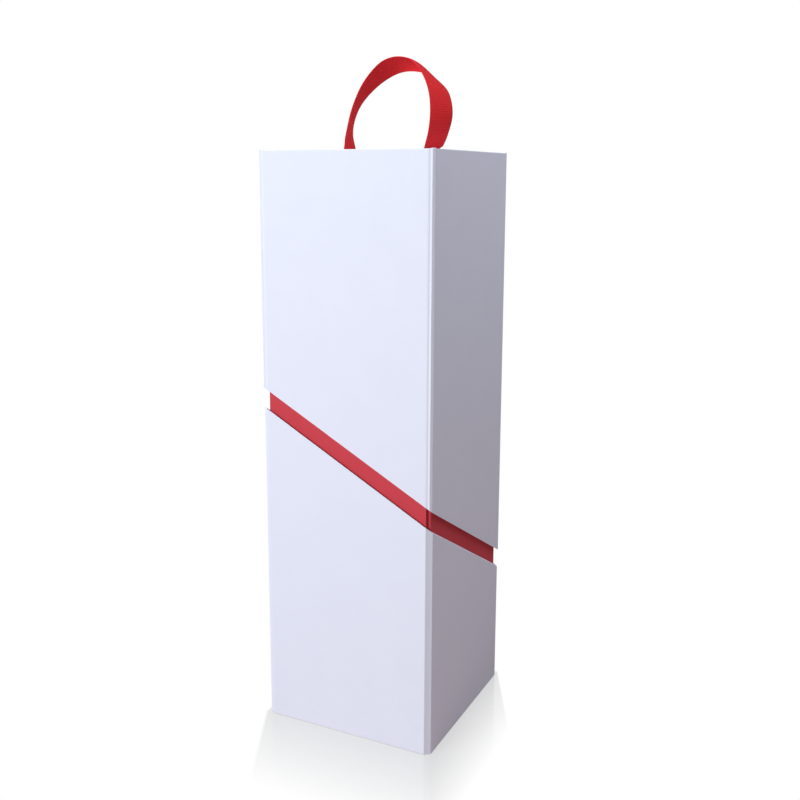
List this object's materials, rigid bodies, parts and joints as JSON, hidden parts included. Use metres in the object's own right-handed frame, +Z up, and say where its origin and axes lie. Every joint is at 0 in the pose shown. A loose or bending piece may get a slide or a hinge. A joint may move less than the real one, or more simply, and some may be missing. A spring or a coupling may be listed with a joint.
{
  "type": "wine box",
  "caption": "Tall square gift box for a wine bottle: its lid lifts off a red inner neck along a slanted cut, and a ribbon loop is the handle.",
  "frame": {"origin": "middle of the box's underside, on the surface that it stands on", "axes": "+Z up; -Y is the bright front face and +X the shaded face beside it; the slanted cut is highest at the front left corner (-X, -Y) and lowest at the back right corner (+X, +Y)"},
  "size_m": [0.1116, 0.1116, 0.4046],
  "materials": {
    "white_paper": "smooth matt coated paper, very slightly blue",
    "red_paper": "smooth matt dyed paper",
    "greyboard": "rough uncoated board, seen nowhere on the closed box",
    "ribbon": "grosgrain ribbon with fine cross ribs, low sheen"
  },
  "bodies": {
    "base": {"base_front_board": "greyboard", "base_right_board": "greyboard", "base_back_board": "greyboard", "base_left_board": "greyboard", "base_floor_board": "greyboard", "base_wrap": "white_paper", "base_bottom_sheet": "white_paper", "neck_front_board": "greyboard", "neck_right_board": "greyboard", "neck_back_board": "greyboard", "neck_left_board": "greyboard", "neck_wrap": "red_paper", "neck_lining": "red_paper", "base_floor_lining": "red_paper"},
    "lid": {"lid_front_board": "greyboard", "lid_right_board": "greyboard", "lid_back_board": "greyboard", "lid_left_board": "greyboard", "lid_top_board": "greyboard", "lid_wrap": "white_paper", "lid_top_sheet": "white_paper", "lid_lining": "white_paper", "lid_ceiling_card": "white_paper", "ribbon_handle": "ribbon"}
  },
  "joints": [
    {"name": "lid_lift", "type": "slide", "parent": "base", "child": "lid", "axis": [0, 0, 1], "range_m": [0, 0.26]}
  ]
}
